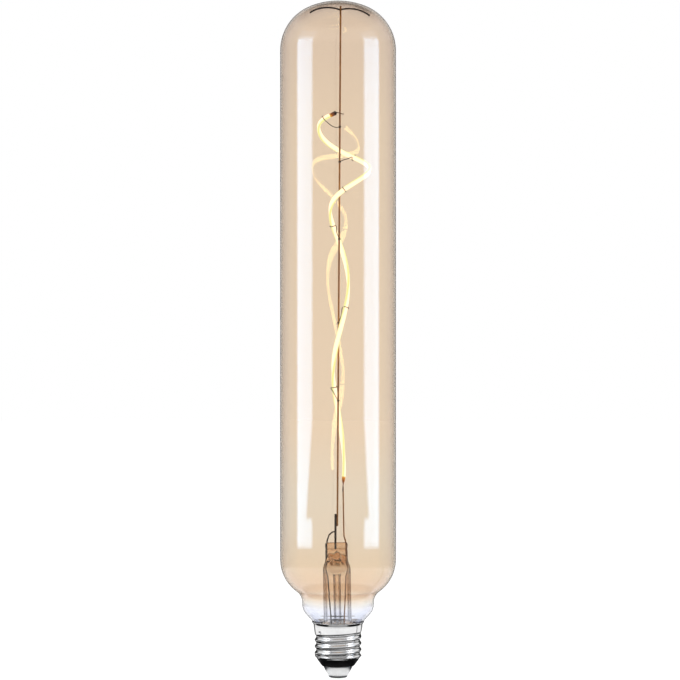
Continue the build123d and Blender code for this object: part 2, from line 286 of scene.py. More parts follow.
def paintedEdgeShadeRamp(tree, stops):
    # colours from face on, at 0, to edge on, at 1; the darker edge-on end is painted shade for the dark
    # outlines of the glass
    facing = addNode(tree, "ShaderNodeLayerWeight", {"Blend": 0.5})
    return addNode(tree, "ShaderNodeValToRGB", {"Fac": facing.outputs["Facing"]}, stops).outputs[0]


def blended(tree, share, first, second, how="MIX"):
    made = addNode(tree, "ShaderNodeMix", {0: share, 6: first, 7: second}, data_type="RGBA", blend_type=how)
    return made.outputs[2]


def mottled(tree, key, grain, spread):
    # a piece's own attribute, shifted by up to spread with the grain
    own = addNode(tree, "ShaderNodeAttribute", attribute_name=key)
    drift = addNode(tree, "ShaderNodeMapRange", {"Value": grain, "To Min": -spread, "To Max": spread})
    place = addNode(tree, "ShaderNodeMath", {0: own.outputs["Fac"], 1: drift.outputs[0]}, operation="ADD")
    return place.outputs[0]


def glassLook(tree, colour, shadowTint, bending, milky=None):
    # glass for the eye, and a tinted veil for shadow rays so that light reaches what is inside;
    # milky is a share from 0 to 1
    glass = addNode(tree, "ShaderNodeBsdfPrincipled", {
        "Base Color": colour, "Roughness": 0.0, "IOR": bending, "Transmission Weight": 1.0})
    veil = addNode(tree, "ShaderNodeBsdfTransparent", {"Color": linear(shadowTint)})
    rays = addNode(tree, "ShaderNodeLightPath")
    whole = shaderMix(tree, rays.outputs["Is Shadow Ray"], glass, veil)
    if milky:
        frost = addNode(tree, "ShaderNodeBsdfTranslucent", {"Color": linear("#F4F4F8")})
        whole = shaderMix(tree, milky, whole, frost)
    useSurface(tree, whole)


# edge is painted shade: greyer where the glass is seen edge on, for its dark outlines
amberLook = dict(low=36.0, high=380.0, wander=1.6, patch=30.0, shadow="#E9DCCB", bending=1.47,
                 edge=[(0.0, "#FFFFFF"), (0.28, "#FFFFFF"), (0.37, "#FBFDFF"), (0.47, "#F8FBFF"),
                       (0.6, "#F3F4FB"), (0.68, "#ECEDF3"), (0.8, "#DCDCDE"), (0.92, "#BCB8B6")],
                 lustre=[(0.0, "#F2F4FA"), (0.01, "#F4F5FA"), (0.02, "#F4EEE3"), (0.03, "#F0DDCB"),
                         (0.075, "#F0E3D2"), (0.13, "#F1E7D9"), (0.19, "#F2E9DC"), (0.3, "#F5E8D8"),
                         (0.8, "#F3E6D6"), (0.93, "#EFE2D4")])


def amberGlass():
    # soda-lime glass with an amber metal-oxide lustre: warm and see-through, clear below the neck,
    # with stronger reflections than bare glass, and greyer edge on: partly the longer path through the
    # lustre, partly painted shade
    look = amberLook
    made, tree = newMaterial("amberLustreGlass")
    where = addNode(tree, "ShaderNodeTexCoord")
    axes = addNode(tree, "ShaderNodeSeparateXYZ", {0: where.outputs["Object"]})
    cloud = grainOf(tree, look["patch"], 2.0, (1, 1, 0.3))
    drift = addNode(tree, "ShaderNodeMapRange", {
        "Value": cloud, "To Min": -look["wander"] * mm, "To Max": look["wander"] * mm})
    level = addNode(tree, "ShaderNodeMath", {0: axes.outputs["Z"], 1: drift.outputs[0]}, operation="ADD")
    rise = addNode(tree, "ShaderNodeMapRange", {
        "Value": level.outputs[0], "From Min": look["low"] * mm, "From Max": look["high"] * mm})
    tint = addNode(tree, "ShaderNodeValToRGB", {"Fac": rise.outputs[0]}, look["lustre"])
    # tint of the lustre times the painted edge shade
    colour = blended(tree, 1.0, tint.outputs[0], paintedEdgeShadeRamp(tree, look["edge"]), "MULTIPLY")
    glassLook(tree, colour, look["shadow"], look["bending"])
    return made


# shade, dark and firedDark place the painted edge shade on the ramps' edge-on ends
stemLook = dict(neck=(39.0, 47.0), press=(61.5, 65.5), seat=(32.0, 30.5),  # heights where a look comes in
                shade=0.12, dark=0.26, fired=0.6, firedDark=0.2, shadow="#F4F0EC", bending=1.5,
                thickStart=0.37, thinStart=0.14)


def stemGlass(name, start):
    # drawn stem glass: clear face on, painted shade as dark lines where it is seen edge on, brown above the
    # neck and grey in it, milky where the flare is sealed to the neck
    look = stemLook
    made, tree = newMaterial(name)
    shade, dark = start + look["shade"], start + look["dark"]
    # each ramp: the glass tint face on, painted shade towards edge on
    grey = paintedEdgeShadeRamp(tree, [(0.0, "#FCFCFD"), (start, "#F8F8FA"), (shade, "#A6A6AA"), (dark, "#5C5C62")])
    brown = paintedEdgeShadeRamp(tree, [(0.0, "#F8F2EA"), (start, "#F0E4D6"), (shade, "#9A7450"), (dark, "#3E2410")])
    fired = paintedEdgeShadeRamp(tree, [(0.0, "#E6CBB0"), (start * look["fired"], "#D2AC88"), (start, "#8A5A38"),
                              (start + look["firedDark"], "#3A1E0C")])
    drawn = blended(tree, heightShare(tree, *look["neck"]), grey, brown)
    whole = blended(tree, heightShare(tree, *look["press"]), drawn, fired)
    glassLook(tree, whole, look["shadow"], look["bending"], heightShare(tree, *look["seat"]))
    return made


stripLook = dict(patch=1.4, mottle=0.12, relief=0.05, bump=0.4, coat="#5E5E3A", rough=0.5, power=7.3,
                 front=[(0.1, "#897A6C"), (0.5, "#727564"), (0.95, "#646845")],
                 chips=[(0.1, "#FFEEA8"), (0.95, "#F2E09A")])


def glowingStrip():
    # silicone coat full of yellow phosphor, lit from inside: pale on its broad faces, yellower on its edges,
    # brightest on the side of the chips
    look = stripLook
    made, tree = newMaterial("phosphorSiliconeStrip")
    grain = grainOf(tree, look["patch"])
    place = mottled(tree, "across", grain, look["mottle"])
    front = addNode(tree, "ShaderNodeValToRGB", {"Fac": place}, look["front"])
    bright = addNode(tree, "ShaderNodeValToRGB", {"Fac": place}, look["chips"])
    chips = addNode(tree, "ShaderNodeAttribute", attribute_name="chips")
    light = blended(tree, chips.outputs["Fac"], front.outputs[0], bright.outputs[0])
    bump = addNode(tree, "ShaderNodeBump", {
        "Height": grain, "Distance": look["relief"] * mm, "Strength": look["bump"]})
    coat = addNode(tree, "ShaderNodeBsdfPrincipled", {
        "Base Color": linear(look["coat"]), "Roughness": look["rough"], "Normal": bump.outputs[0],
        "Emission Color": light, "Emission Strength": look["power"]})
    useSurface(tree, coat)
    return made


terminalLook = dict(patch=0.8, mottle=0.08, rough=0.6, shine=0.12,
                    heat=[(0.0, "#D9A23E"), (0.1, "#A5671F"), (0.22, "#6B3A1C"), (0.36, "#140906"),
                          (0.54, "#1E0F08"), (0.64, "#4A3220")])


def stripTerminal():
    # crimped end of the strip: amber where the coat ends, nearly black at the crimp, brown on the pin
    look = terminalLook
    made, tree = newMaterial("firedStripTerminal")
    place = mottled(tree, "along", grainOf(tree, look["patch"]), look["mottle"])
    tone = addNode(tree, "ShaderNodeValToRGB", {"Fac": place}, look["heat"])
    body = addNode(tree, "ShaderNodeBsdfPrincipled", {
        "Base Color": tone.outputs[0], "Roughness": look["rough"], "Specular IOR Level": look["shine"]})
    useSurface(tree, body)
    return made


amber = amberGlass()
clear = stemGlass("drawnStemGlass", stemLook["thickStart"])
clearThin = stemGlass("thinDrawnGlass", stemLook["thinStart"])
glow = glowingStrip()
terminal = stripTerminal()
# nickel-plated sheet: a bright mirror with a little haze
plated = solidLook("nickelPlatedSheet", 2.5, [(0.3, "#D4D4D5"), (0.75, "#E2E2E2")], (0.05, 0.1), 0.004,
                   4.0, Metallic=1.0)
# pressed contact: satin silver, duller than the cap
contactMetal = solidLook("pressedContactMetal", 1.6, [(0.3, "#CDCDCD"), (0.75, "#DEDEDE")], (0.24, 0.36),
                         0.015, 4.0, Metallic=1.0)
# black moulding: deep black with a soft gloss and faint flow marks
black = solidLook("blackMoulding", 2.0, [(0.3, "#040405"), (0.8, "#0A0A0B")], (0.25, 0.4), 0.02, 4.0,
                  (1, 1, 0.35), Specular_IOR_Level=0.04)
# cured basing cement: matte brown with pale grit
cement = solidLook("basingCement", 0.35, [(0.3, "#2E1C14"), (0.6, "#4A2E24"), (0.85, "#7A5E50")],
                   (0.85, 0.95), 0.1, 5.0)
# drawn iron wire with a brown copper skin: warm, dark, a narrow highlight
iron = solidLook("copperedIronWire", 1.2, [(0.3, "#6A451F"), (0.6, "#805828"), (0.85, "#9C743C")],
                 (0.5, 0.36), 0.01, 4.0, Metallic=0.5, Specular_IOR_Level=0.2)
# the same wire where heat has blackened it: welds, hooks, bow and stub
firedIron = solidLook("firedIronWire", 0.9, [(0.3, "#120803"), (0.6, "#1E1006"), (0.85, "#332010")],
                      (0.8, 0.6), 0.01, 4.0, Specular_IOR_Level=0.06)
# electronics: green laminate, aluminium can, black resin, sand-coloured fuse coat
board = solidLook("boardLaminate", 3.0, [(0.3, "#0E4A22"), (0.8, "#1A6B34")], (0.45, 0.55), 0.02)
canMetal = solidLook("capacitorCan", 1.5, [(0.3, "#9A9AA0"), (0.8, "#B8B8BC")], (0.3, 0.4), 0.01,
                     Metallic=1.0)
chipBlack = solidLook("chipResin", 0.8, [(0.3, "#141414"), (0.8, "#232323")], (0.55, 0.65), 0.02)
fuseCoat = solidLook("fuseCoating", 0.8, [(0.3, "#A89878"), (0.8, "#C2B494")], (0.65, 0.75), 0.03)
print("materials ready")


# Glass envelope
bulb = dict(length=380.0, tubeRadius=32.5, wall=1.0, crown=42.0, knuckle=26.5, shoulder=22.0, neckRadius=20.1,
            neckLength=4.0, neckFillet=8.0, footAngle=42.0, footBottom=28.55, footRound=2.4, neckRound=8.0,
            spigotRadius=11.4, spigotBottom=22.05, around=240, step=16.0)
bulb["knuckleOut"] = bulb["tubeRadius"] - bulb["knuckle"]
bulb["crownHeight"] = bulb["length"] - bulb["crown"]
bulb["knuckleRise"] = sqrt((bulb["crown"] - bulb["knuckle"]) ** 2 - bulb["knuckleOut"] ** 2)


def bulbOutline(inset):
    # foot, neck, hollow, shoulder, tube, knuckle and dome as tangent arcs, all moved inwards by inset
    b = bulb
    footTop = b["footBottom"] + (b["neckRadius"] - b["spigotRadius"]) / tan(radians(b["footAngle"]))
    bevel = inset * tan(radians(b["footAngle"] / 2))
    neckTop = footTop + b["neckLength"]
    spread = b["shoulder"] + b["neckFillet"]
    shoulderOut = b["tubeRadius"] - b["shoulder"]
    hollowOut = b["neckRadius"] + b["neckFillet"]
    shoulderHeight = neckTop + sqrt(spread ** 2 - (hollowOut - shoulderOut) ** 2)
    lean = np.degrees(atan2(shoulderHeight - neckTop, shoulderOut - hollowOut))
    domeTurn = np.degrees(atan2(b["knuckleRise"], b["knuckleOut"]))
    neck = b["neckRadius"] - inset
    spigot = b["spigotRadius"] - inset
    foot = rounded([(spigot, b["spigotBottom"]), (spigot, b["footBottom"] + bevel), (neck, footTop + bevel),
                    (neck, neckTop)], [b["footRound"] + inset, b["neckRound"] - inset], 13)
    hollow = arc((hollowOut, neckTop), b["neckFillet"] + inset, 180, lean, 16)
    shoulder = arc((shoulderOut, shoulderHeight), b["shoulder"] - inset, lean - 180, 0, 26)
    knuckleHeight = b["crownHeight"] + b["knuckleRise"]
    knuckle = arc((b["knuckleOut"], knuckleHeight), b["knuckle"] - inset, 0, domeTurn, 34)
    dome = arc((0, b["crownHeight"]), b["crown"] - inset, domeTurn, 90, 18)
    dome[-1, 0] = 0.0
    return filled(np.vstack([foot[:-1], hollow[:-1], shoulder, knuckle[:-1], dome]), b["step"])


wall = np.vstack([bulbOutline(bulb["wall"])[::-1], bulbOutline(0.0)])
envelope = newPiece("glassEnvelope", amber, "amber_glass", "glass_envelope", turned(wall, bulb["around"]))
print("glass envelope:", len(envelope.data.polygons), "faces")


# Stem: flared tube pressed flat round the wires, with a wavy hollow end where the press closed
stem = dict(around=128, rings=170, tubePower=2.0, pressPower=4.0, flatness=3.0, lean=1.06, pivot=22.05,
            wave=0.3, waveLow=62.0, waveHigh=67.0, foldAcross=1.9, foldUp=0.8, endRise=2.2, endAcross=1.3,
            endShift=0.7, insideTop=70.9)
pressTop = 76.05
stemOutside = [  # height, half width, half depth
    (22.05, 10.3, 10.3), (23.6, 10.2, 10.2), (26.5, 9.05, 9.05), (30.0, 8.25, 8.25), (36.0, 7.9, 7.9),
    (48.0, 7.9, 7.9), (58.5, 7.9, 7.9), (61.0, 7.85, 7.7), (63.4, 7.3, 6.2), (65.2, 6.6, 4.2),
    (66.6, 6.35, 3.05), (68.4, 6.3, 2.75), (70.4, 6.3, 2.75), (71.5, 6.25, 2.55), (72.2, 6.1, 2.0),
    (72.9, 6.25, 2.55), (73.8, 6.3, 2.75), (75.2, 6.25, 2.65), (75.8, 6.0, 2.3), (75.98, 5.5, 1.8)]
stemInside = [
    (70.2, 2.6, 0.5), (69.6, 4.0, 1.0), (68.2, 4.9, 1.45), (66.0, 5.3, 1.8), (63.5, 5.6, 2.5),
    (61.0, 6.1, 4.2), (58.5, 6.6, 6.3), (55.0, 6.7, 6.7), (45.0, 6.7, 6.7), (36.0, 6.7, 6.7),
    (30.0, 7.05, 7.05), (26.5, 7.85, 7.85), (23.6, 9.05, 9.05), (22.05, 9.15, 9.15)]


def leaned(points):
    # turned about the edge of the flare, to the left
    a = radians(stem["lean"])
    up = points[..., 2] - stem["pivot"]
    x = points[..., 0] * cos(a) - up * sin(a)
    z = points[..., 0] * sin(a) + up * cos(a) + stem["pivot"]
    return np.stack([x, points[..., 1], z], -1)


def ovalRings(stations, wave):
    # superellipse rings |x/a|^n + |y/b|^n = 1, with n rising as the ring goes flat; wave ripples the flat end
    p = stem
    height, wide, deep = splineThrough(stations, np.linspace(0, 1, p["rings"])).T[:, :, None]
    flat = np.clip((wide - deep) / p["flatness"], 0, 1)
    power = 2 / (p["tubePower"] + (p["pressPower"] - p["tubePower"]) * flat)
    a = np.linspace(0, 2 * pi, p["around"], endpoint=False)[None, :]
    x = wide * np.sign(np.cos(a)) * np.abs(np.cos(a)) ** power
    y = deep * np.sign(np.sin(a)) * np.abs(np.sin(a)) ** power
    ripple = wave * smooth(height, p["waveLow"], p["waveHigh"])
    y = y * (1 + ripple * np.sin(p["foldAcross"] * x + p["foldUp"] * height))
    z = height + ripple * p["endRise"] * np.sin(p["endAcross"] * x + p["endShift"])
    return leaned(np.stack([x, y, z], -1))


stemRings = np.vstack([ovalRings(stemInside, stem["wave"]), ovalRings(stemOutside, 0.0)])
stemPoles = leaned(np.array([[0, 0, stem["insideTop"]], [0, 0, pressTop]]))
newPiece("stemTube", clear, "clear_glass", "stem_tube", shell(stemRings, stemPoles))

exhaust = dict(radius=2.1, bore=1.3, tip=25.55, top=59.5, tipRise=0.4, floorRise=1.3, boreRise=1.6, around=56,
               step=3.0, rounds=[1.2, 0.3, 0.3, 0.6])


def exhaustShell():
    # closed tip, wall up to the open end and the bore down to its floor, leaned with the stem
    e = exhaust
    floor = e["tip"] + e["floorRise"]
    outline = filled(rounded([
        (0, e["tip"]), (e["radius"], e["tip"] + e["tipRise"]), (e["radius"], e["top"]), (e["bore"], e["top"]),
        (e["bore"], e["tip"] + e["boreRise"]), (0, floor)], e["rounds"]), e["step"])
    poles = np.array([[0, 0, e["tip"]], [0, 0, floor]])
    return shell(leaned(lathe(outline[1:-1], e["around"])), leaned(poles))


newPiece("exhaustTube", clearThin, "clear_glass", "exhaust_tube", exhaustShell())
print("stem ready")


# Screw cap: sheet cap with a rolled thread, a punched mark and a flared rim
cap = dict(crest=13.15, root=12.2, bore=11.75, sheet=0.45, bottom=11.4, bevel=1.0, collar=13.7,
           collarBottom=26.6, collarTop=30.0, ledge=0.45, rimRadius=14.74, rimTop=31.6, rimDrop=0.05,
           insideRise=0.2, foldRise=0.3, taperLow=25.4, taperHigh=28.8,
           rounds=[0.25, 0.5, 4.0, 4.0, 0.8, 0.12, 0.12, 0.5, 0.1, 0.1],
           pitch=3.629, frontGroove=24.0, threadLow=11.9, threadHigh=24.9, threadEnd=27.5, runIn=1.2,
           runOutLow=0.5, runOutHigh=0.4, lipLow=0.6, lipHigh=1.8, skin=0.3,
           markAngle=-140.0, markHeight=26.2, markWidth=0.75, markRise=0.45, markDepth=0.6,
           around=320, step=0.11, insideStep=0.8)


def threadRadius(a, r, z):
    # crest minus a cosine groove along a right-hand helix, faded in at the bottom and out under the collar
    c = cap
    turns = (z - c["frontGroove"]) / c["pitch"] - (a + pi / 2) / (2 * pi)
    nearest = np.round(turns)
    lift = c["frontGroove"] + c["pitch"] * (nearest + (a + pi / 2) / (2 * pi))
    depth = 0.5 * (1 + np.cos(2 * pi * (turns - nearest)))
    lip = smooth(z, c["bottom"] + c["lipLow"], c["bottom"] + c["lipHigh"])
    fadeIn = smooth(lift, c["threadLow"], c["threadLow"] + c["runIn"]) * lip
    fadeOut = 1 - smooth(lift, c["threadHigh"] - c["runOutLow"], c["threadHigh"] + c["runOutHigh"])
    outside = r > c["crest"] - c["skin"]
    full = (c["crest"] - c["root"]) * depth * fadeIn * fadeOut
    groove = np.where(outside & (z < c["threadEnd"]), full, 0.0)
    aside = np.angle(np.exp(1j * (a - radians(c["markAngle"])))) * r / c["markWidth"]
    above = (z - c["markHeight"]) / c["markRise"]
    punch = c["markDepth"] * np.exp(-aside ** 2 - above ** 2)
    return r - groove - np.where(outside, punch, 0.0)


def capOutline():
    # from the bore over the thread, collar and flared rim, and in longer steps back down the inside
    c = cap
    inside = c["collar"] - c["sheet"]
    ledge = c["collarBottom"] + c["ledge"]
    outline = rounded([
        (c["bore"], c["bottom"]), (c["root"], c["bottom"]), (c["crest"], c["bottom"] + c["bevel"]),
        (c["crest"], c["taperLow"]), (c["collar"], c["taperHigh"]), (c["collar"], c["collarTop"]),
        (c["rimRadius"], c["rimTop"] - c["rimDrop"]), (c["rimRadius"] - c["sheet"], c["rimTop"]),
        (inside, c["collarTop"] + c["insideRise"]), (inside, ledge), (c["bore"], ledge),
        (c["bore"], c["bottom"] + c["foldRise"])], c["rounds"])
    top = np.argmax(outline[:, 1]) + 1
    return np.vstack([filled(outline[:top], c["step"]), filled(outline[top:], c["insideStep"])[:-1]])


capRings = lathe(capOutline(), cap["around"], threadRadius)
capPiece = newPiece("screwCap", plated, "plated_cap", "screw_cap", shell(capRings, loop=True))
print("screw cap:", len(capPiece.data.polygons), "faces")


# Insulator and contact
insulator = dict(well=2.2, foot=9.1, shoulder=12.1, plug=11.7, bottom=6.9, capBottom=11.4, top=15.0,
                 waistIn=0.8, waistHeight=9.9, seam=0.05, rounds=[0.2, 0.5, 3.0, 0.2, 0.1, 0.3],
                 around=160, step=0.5)


def insulatorRings():
    # wall of the well, tapered foot, shoulder under the cap and plug inside it
    i = insulator
    outline = rounded([
        (i["well"], i["top"]), (i["well"], i["bottom"]), (i["foot"], i["bottom"]),
        (i["shoulder"] - i["waistIn"], i["waistHeight"]), (i["shoulder"], i["capBottom"] - i["seam"]),
        (i["plug"], i["capBottom"]), (i["plug"], i["top"]), (i["well"] + i["seam"], i["top"])], i["rounds"])
    return lathe(filled(outline, i["step"]), i["around"])


newPiece("capInsulator", black, "black_insulator", "cap_insulator", shell(insulatorRings(), loop=True))

contact = dict(face=4.1, lower=5.05, upper=8.5, edge=0.6, top=6.9, dish=0.25, dishFlat=0.55, dishRim=0.72,
               brim=0.2, topIn=0.3, topDrop=0.02, rounds=[0.6, 0.4, 0.5, 0.6, 0.1, 0.1], around=128, step=0.4)


def contactOutline():
    # shallow dish, flat face, short edge and a cone up to the insulator
    c = contact
    return filled(rounded([
        (0, c["dish"]), (c["face"] * c["dishFlat"], c["dish"]), (c["face"] * c["dishRim"], 0.0),
        (c["face"] + c["brim"], 0.0), (c["lower"], c["edge"]), (c["upper"], c["top"] - c["topDrop"]),
        (c["upper"] - c["topIn"], c["top"]), (0, c["top"])], c["rounds"]), c["step"])


newPiece("centreContact", contactMetal, "contact_metal", "centre_contact",
         turned(contactOutline(), contact["around"]))
print("cap end ready")


# Rod line and the strip wound round it
rod = dict(foot=85.15, top=378.0, footX=-0.4, lean=1.85, radius=0.5, stubX=-1.45)


def rodAt(height):
    height = np.asarray(height, float)
    x = rod["footX"] + rod["lean"] * (height - rod["foot"]) / (rod["top"] - rod["foot"])
    return np.stack([x, np.zeros_like(x), height], -1)


strip = dict(width=2.7, thick=1.7, power=0.62, count=900, around=28, fine=20000, steps=6001, chipsLow=0.15,
             chipsHigh=0.6,
             angles=[207, 200, 192, 175, 90, 0, -90, -180, -270, -360, -450, -540, -630, -720, -740],
             reaches=[6.5, 8.9, 11.0, 12.0, 12.0, 16.8, 8.9, 5.1, 5.5, 5.3, 5.0, 2.9, 3.6, 3.35, 3.6],
             heights=[239.4, 238.0, 236.0, 232.8, 220.9, 209.5, 195.5, 185.7, 168.8, 145.0, 115.6, 95.4, 73.5,
                      48.4, 37.0])
stripAngle = np.radians(strip["angles"])
stripAside = np.stack([np.cos(stripAngle), np.sin(stripAngle), 0 * stripAngle], -1)
stripReach = np.array(strip["reaches"])[:, None]
stripStations = rodAt(pressTop + np.array(strip["heights"])) + stripAside * stripReach
stripLine = evenly(splineThrough(stripStations, np.linspace(0, 1, strip["fine"])), strip["steps"])


def stripAt(share):
    # point at a share of the strip's length
    at = np.atleast_1d(share) * (len(stripLine) - 1)
    return np.column_stack([np.interp(at, np.arange(len(stripLine)), column) for column in stripLine.T])


stripPath = stripAt(np.linspace(0, 1, strip["count"]))
stripTurn = np.linspace(0, 2 * pi, strip["around"], endpoint=False)
stripOut = stripPath - rodAt(stripPath[:, 2])
stripN, stripB = sectionFrames(stripPath, stripOut)
stripBack = np.cos(stripTurn)[None] * stripN[:, 1:2] + np.sin(stripTurn)[None] * stripB[:, 1:2]
stripAcross = np.sin(stripTurn)[None] ** 2  # 0 on the broad faces, 1 on the edges
stripChips = smooth(stripBack, strip["chipsLow"], strip["chipsHigh"])  # 1 on the side of the chips
stripShell = tube(stripPath, strip["width"] / 2, strip["thick"] / 2, stripOut, strip["around"],
                  strip["power"], across=stripAcross, chips=stripChips)
newPiece("filamentStrip", glow, "glowing_strip", "led_filament", stripShell)
print("strip ready")


# Terminals: flattened sleeve that narrows to a round weld pin
ends = dict(sleeve=4.4, pin=0.25, upperRise=1.6, upperOvershoot=3.0, lowerPin=4.2, lowerOverlap=3.0,
            weldDepth=0.7, leadDepth=0.55, upperTaper=0.84, lowerTaper=0.3, upperHeat=1.0, lowerHeat=0.5,
            taperEnd=1.04, tipRound=0.3, widthIn=0.1, thickIn=0.06, fine=400, steps=110, around=24, power=0.8)


def terminalShell(corners, taper, heat):
    # half sizes shrink from the strip's to the pin's between taper and the end of the sleeve
    e = ends
    path = evenly(splineThrough(corners, np.linspace(0, 1, e["fine"])), e["steps"])
    s = lengthAlong(path)
    narrow = smooth(s, e["sleeve"] * taper, e["sleeve"] * e["taperEnd"])
    close = np.sqrt(np.clip((s[-1] - s) / e["tipRound"], 0.01, 1))
    wide = ((strip["width"] / 2 - e["widthIn"]) * (1 - narrow) + e["pin"] * narrow) * close
    thick = ((strip["thick"] / 2 - e["thickIn"]) * (1 - narrow) + e["pin"] * narrow) * close
    along = np.clip(s / (e["sleeve"] * 2) * heat, 0, 1)[:, None]
    return tube(path, wide, thick, path - rodAt(path[:, 2]) + 0.01, e["around"], e["power"], along=along)


near = stripAt([0.0, 0.001, 0.999, 1.0])
upperOut = (near[0] - near[1]) / np.linalg.norm(near[0] - near[1])
lowerOut = (near[3] - near[2]) / np.linalg.norm(near[3] - near[2])
weld = rodAt(near[0][2] + ends["upperRise"]) - (0, ends["weldDepth"], 0)
sleeveEnd = near[0] + upperOut * ends["sleeve"]
onward = (weld - sleeveEnd) / np.linalg.norm(weld - sleeveEnd)
upperLine = [near[0], near[0] + upperOut * ends["sleeve"] / 2, sleeveEnd, weld,
             weld + onward * ends["upperOvershoot"]]
newPiece("filamentTerminalUpper", terminal, "terminal_metal", "filament_terminal_upper",
         terminalShell(upperLine, ends["upperTaper"], ends["upperHeat"]))
lowerTip = near[3] + lowerOut * (ends["sleeve"] + ends["lowerPin"])
lowerLine = [near[3], near[3] + lowerOut * ends["sleeve"] / 2, near[3] + lowerOut * ends["sleeve"], lowerTip]
newPiece("filamentTerminalLower", terminal, "terminal_metal", "filament_terminal_lower",
         terminalShell(lowerLine, ends["lowerTaper"], ends["lowerHeat"]))


# Hooks: an open eye round the strip, an arm to the rod and a weld bead there
hook = dict(wire=0.42, eye=1.74, beadRadius=0.82, beadRise=0.62, beadRings=15, beadAround=20, turnFirst=20,
            turnStep=25, leave=1.12, armShares=[[0.0], [0.35], [0.7]], armSags=[0.0, 1.0, 0.8],
            fine=600, steps=120,
            shares=[0.014, 0.164, 0.315, 0.421, 0.615, 0.798],
            heights=[233.4, 213.8, 196.0, 170.4, 123.3, 79.6],
            starts=[0, 0, 0, 0, 0, 105], sweeps=[270, 270, 270, 270, 270, -280],
            sags=[1.3, -0.3, 0.4, 0.5, 0.5, 0.3])


def hookShells(share, height, start, sweep, sag):
    # cubic along the arm and round the eye, which stands square to the strip;
    # a bead where the arm meets the rod
    before, centre, after = stripAt([share - 0.001, share, share + 0.001])
    along = (after - before) / np.linalg.norm(after - before)
    inward = rodAt(centre[2]) - centre
    inward = inward - along * (inward @ along)
    inward /= np.linalg.norm(inward)
    side = np.cross(along, inward)
    foot = rodAt(pressTop + height)
    steps = np.arange(hook["turnFirst"], abs(sweep) + 1, hook["turnStep"])[:, None]
    turn = np.radians(start + np.sign(sweep) * steps)
    eye = centre + hook["eye"] * (np.cos(turn) * inward + np.sin(turn) * side)
    leave = centre + hook["eye"] * hook["leave"] * (cos(radians(start)) * inward + sin(radians(start)) * side)
    arm = foot + (leave - foot) * np.array(hook["armShares"])
    arm[:, 2] -= np.array(hook["armSags"]) * sag
    path = evenly(splineThrough(np.vstack([arm, leave, eye]), np.linspace(0, 1, hook["fine"])), hook["steps"])
    polar = np.linspace(0, pi, hook["beadRings"])
    bead = np.column_stack([hook["beadRadius"] * np.sin(polar), -hook["beadRise"] * np.cos(polar)])
    beadRings = lathe(bead[1:-1], hook["beadAround"]) + foot
    beadPoles = foot + np.array([[0, 0, -hook["beadRise"]], [0, 0, hook["beadRise"]]])
    return roundWire(path, hook["wire"], along), shell(beadRings, beadPoles)


hookRows = zip(hook["shares"], hook["heights"], hook["starts"], hook["sweeps"], hook["sags"])
for number, row in enumerate(hookRows, 1):
    newPiece(f"filamentHook{number}", firedIron, "wire_metal", f"filament_hook_{number}", *hookShells(*row))
print("hooks ready")


# Bow spring: flat wire in two arched wings across the rod
bow = dict(reach=17.6, turn=16.0, dip=2.4, rise=1.2, crown=8.0, width=1.0, thick=1.0, sink=0.05, glassGap=0.3,
           wing=40, foldLift=0.12, foldHalf=9, steps=140, around=18, power=0.75)


def bowShell():
    # each wing is an arc through tip, crown and middle; a flattened oval is carried along both
    middle = rod["top"] - bow["dip"]
    inset = bulb["wall"] + bow["glassGap"] + bow["thick"] / 2
    outer = bow["reach"] + rod["footX"] + rod["lean"] - bulb["knuckleOut"]
    tip = bulb["crownHeight"] + bulb["knuckleRise"] + sqrt((bulb["knuckle"] - inset) ** 2 - outer ** 2)
    left = arcThrough((-bow["reach"], tip), (-bow["crown"], middle + bow["rise"]), (0, middle), bow["wing"])
    flat = np.vstack([left, left[-2::-1] * (-1, 1)])
    fold = np.arange(-bow["foldHalf"], bow["foldHalf"] + 1)
    soft = np.cos(fold / bow["foldHalf"] * pi / 2)
    flat[bow["wing"] - 1 + fold, 1] += bow["foldLift"] * soft  # softens the fold at the rod
    a = radians(bow["turn"])
    across = np.array([cos(a), sin(a), 0])
    aside = np.array([-sin(a), cos(a), 0]) * (rod["radius"] + bow["width"] / 2 - bow["sink"])
    path = rodAt(middle) * (1, 1, 0) + aside + flat[:, :1] * across + flat[:, 1:] * np.array([0, 0, 1])
    return tube(evenly(path, bow["steps"]), bow["width"] / 2, bow["thick"] / 2, (0, 0, 1), bow["around"],
                bow["power"])


newPiece("topBow", firedIron, "wire_metal", "top_bow", bowShell())


# Lead wires: from the driver board up through the press, bent smoothly
lead = dict(wire=0.8, board=16.0, knee=20.0, pad=3.0, press=5.2, bend=58.85, rise=0.8, turnX=3.3,
            turnRise=3.5, leftBends=[(-5.0, 0, 80.3), (-3.2, 0, 81.8)], leftTop=82.1, weldIn=0.2,
            corner=12, steps=240, leftRounds=[4, 8, 2.2, 2.2, 2.2], rightRounds=[4, 8, 2.5, 5])


def leadPath(side, tail, radii):
    # rounded run from board to press, then the given tail
    inPress = leaned(np.array([[side * lead["press"], 0, lead["bend"]],
                               [side * lead["press"], 0, pressTop + lead["rise"]]]))
    start = [(side * lead["pad"], 0, lead["board"]), (side * lead["pad"], 0, lead["knee"])]
    return evenly(rounded(np.vstack([start, inPress, tail]), radii, lead["corner"]), lead["steps"])


leftTail = lead["leftBends"] + [(rod["stubX"] - lead["weldIn"], 0, lead["leftTop"])]
leftLead = leadPath(-1, leftTail, lead["leftRounds"])
newPiece("leadWireLeft", firedIron, "wire_metal", "lead_wire_left", roundWire(leftLead, lead["wire"]))
leadTop = lowerTip - lowerOut * ends["lowerOverlap"] + (0, ends["leadDepth"], 0)
rightTail = [(lead["turnX"], 0, pressTop + lead["turnRise"]), leadTop]
rightLead = leadPath(1, rightTail, lead["rightRounds"])
newPiece("leadWireRight", iron, "wire_metal", "lead_wire_right", roundWire(rightLead, lead["wire"]))
print("wires ready")


